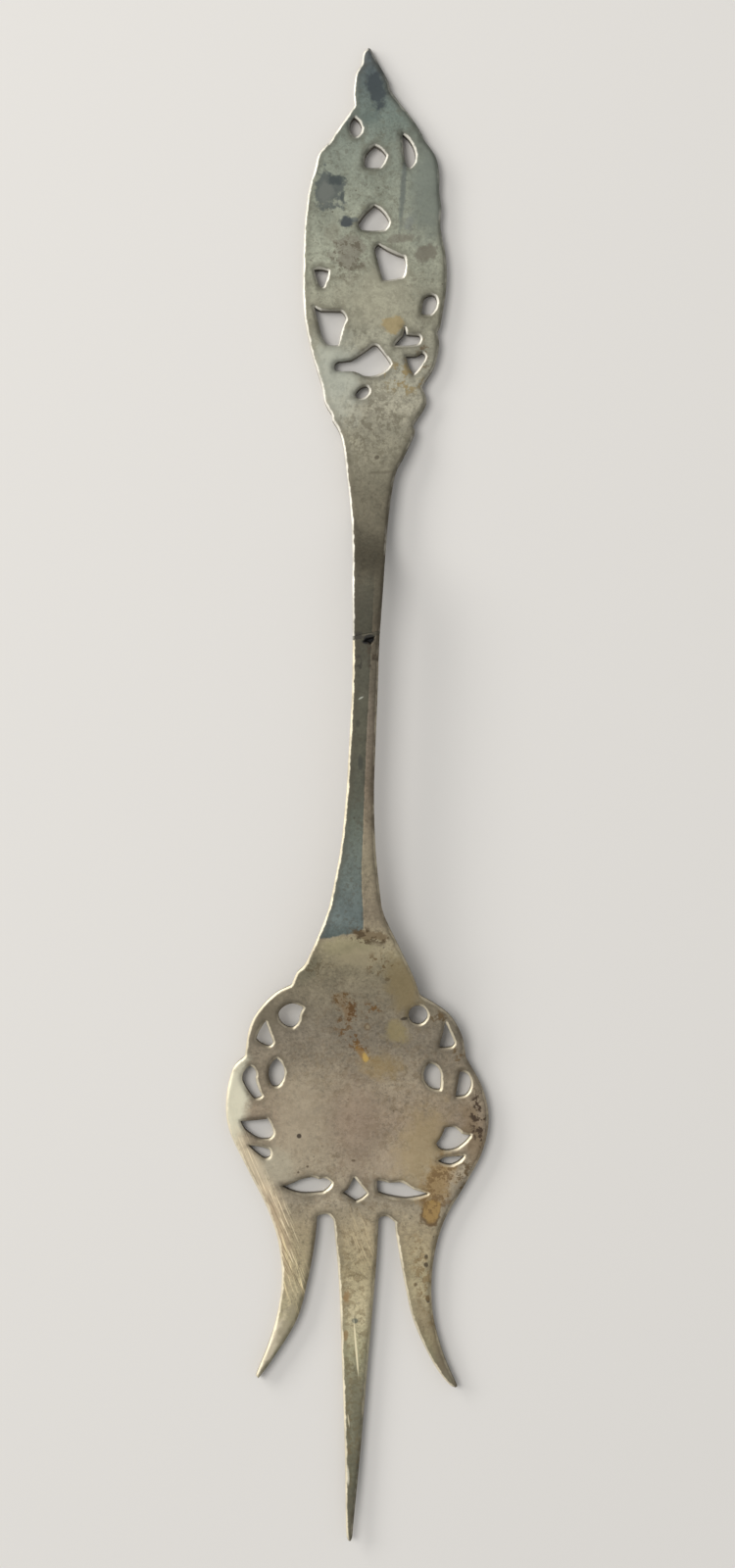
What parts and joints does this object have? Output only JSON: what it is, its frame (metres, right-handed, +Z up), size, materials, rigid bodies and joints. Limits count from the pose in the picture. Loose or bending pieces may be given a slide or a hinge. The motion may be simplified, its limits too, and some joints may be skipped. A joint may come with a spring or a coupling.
{
  "type": "cake fork",
  "caption": "Serving fork cut from sheet metal, with spreading tines, a pierced lobed head, a thin arched stem with a soldered scarf joint and a pierced leaf-shaped handle.",
  "frame": {"origin": "centre of the bounding box in X and Y, on the table under the fork as it lies face up", "axes": "+X across the fork, +Y along it from the tines to the handle tip, +Z up out of the visible face"},
  "size_m": [0.0264, 0.15, 0.0048],
  "materials": {
    "handle": "dull worn silver plate over brass, greenish grey",
    "head": "dull silver plate worn through to brass, warm grey to gold",
    "solder": "dull grey solder"
  },
  "bodies": {
    "root": {"handle": "handle", "head": "head", "solder": "solder"}
  },
  "joints": []
}
